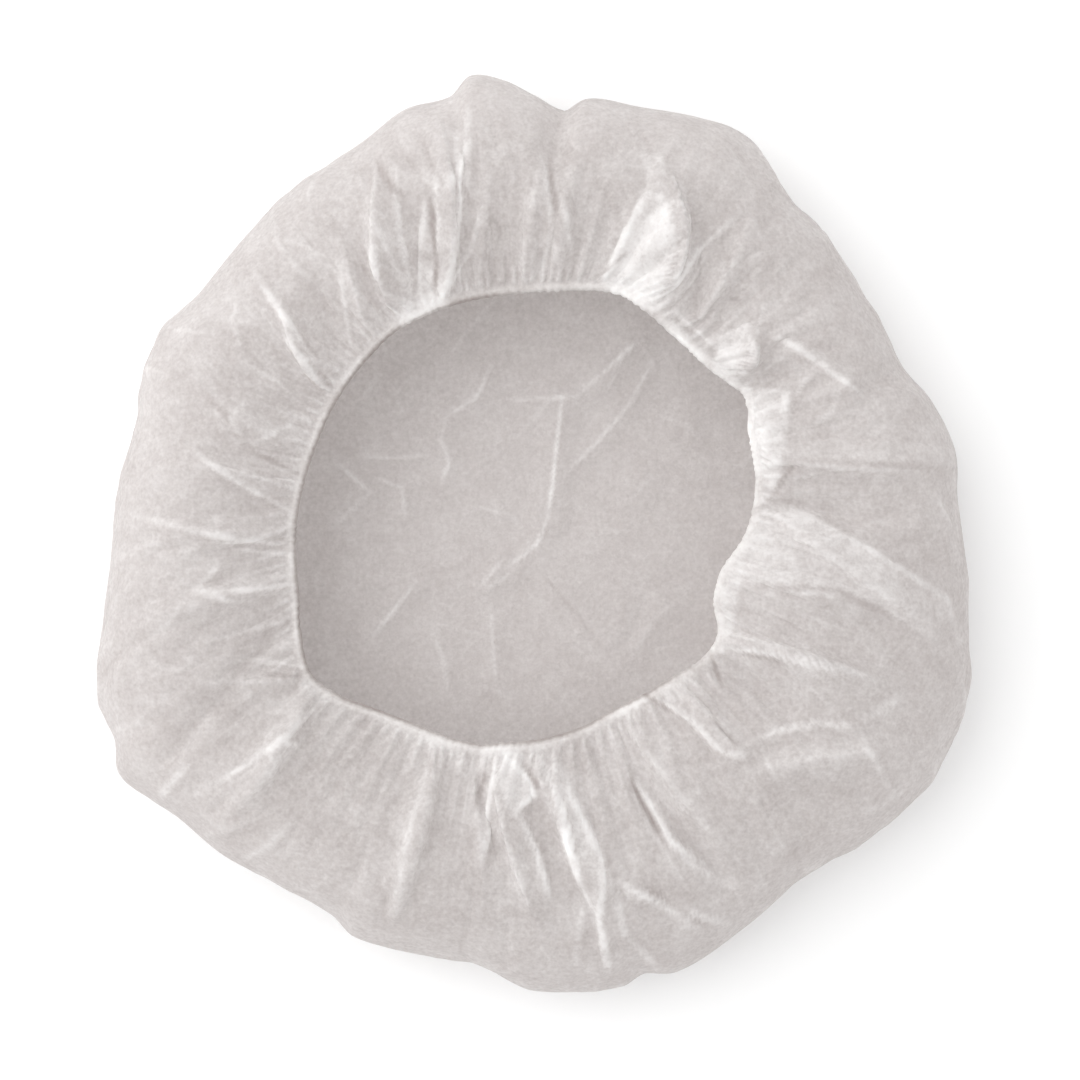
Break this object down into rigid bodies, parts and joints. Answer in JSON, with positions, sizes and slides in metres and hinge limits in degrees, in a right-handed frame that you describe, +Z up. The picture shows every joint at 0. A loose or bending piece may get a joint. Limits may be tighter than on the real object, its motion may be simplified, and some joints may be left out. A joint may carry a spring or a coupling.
{
  "type": "disposable hair cover cap",
  "caption": "Puffed disposable hair cover of thin sheer fabric, gathered at the head opening by an elastic cord in a turned hem.",
  "frame": {"origin": "on the surface that the cap lies on, under the middle of its box", "axes": "+Z up, out of the head opening; +X and +Y along the surface, +Y towards the top of the picture"},
  "size_m": [0.3112, 0.3264, 0.0628],
  "materials": {
    "nonwoven_fabric": "sheer white spunbond polypropylene, soft and matt",
    "elastic": "white covered latex-free elastic, matt"
  },
  "bodies": {
    "root": {"cap_body": "nonwoven_fabric", "elastic_cord": "elastic"}
  },
  "joints": []
}
